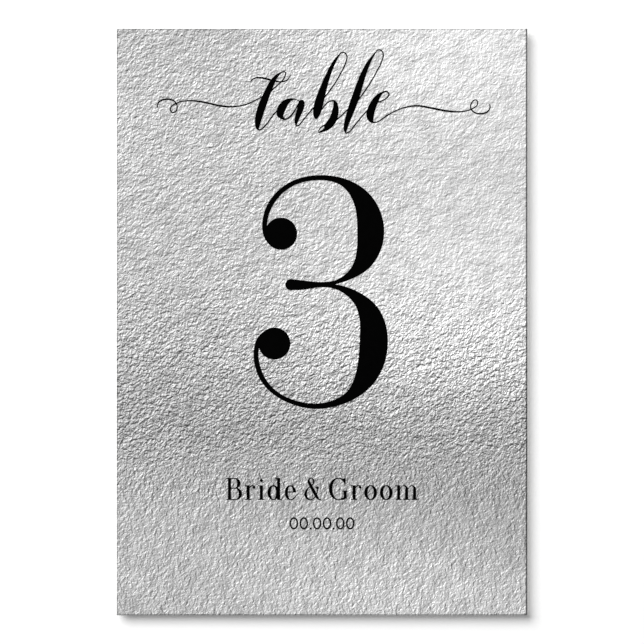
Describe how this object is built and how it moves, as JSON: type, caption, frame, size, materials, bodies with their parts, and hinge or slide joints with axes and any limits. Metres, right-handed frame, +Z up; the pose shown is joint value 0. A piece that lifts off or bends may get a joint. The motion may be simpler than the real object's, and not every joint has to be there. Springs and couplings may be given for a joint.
{
  "type": "table number card",
  "caption": "Upright rectangular table number card: embossed silver foil on a stiff board core, with raised black print and a plain paper back.",
  "frame": {"origin": "middle of the card's bottom edge, halfway through its thickness", "axes": "+X to the reader's right across the card, +Z up its height, the printed face looks towards -Y"},
  "size_m": [0.0888, 0.0005, 0.127],
  "materials": {
    "silver_foil": "embossed fine crinkled grain, bright metallic paper foil",
    "adhesive": "dried clear laminating adhesive",
    "core_board": "pressed paperboard, cut edge",
    "back_paper": "smooth uncoated white paper",
    "black_ink": "raised satin black print"
  },
  "bodies": {
    "root": {"foil_face": "silver_foil", "front_adhesive": "adhesive", "board_core": "core_board", "back_adhesive": "adhesive", "back_liner": "back_paper", "numeral_three": "black_ink", "script_table": "black_ink", "bride_lettering": "black_ink", "ampersand": "black_ink", "groom_lettering": "black_ink", "date_digits": "black_ink", "date_points": "black_ink"}
  },
  "joints": []
}
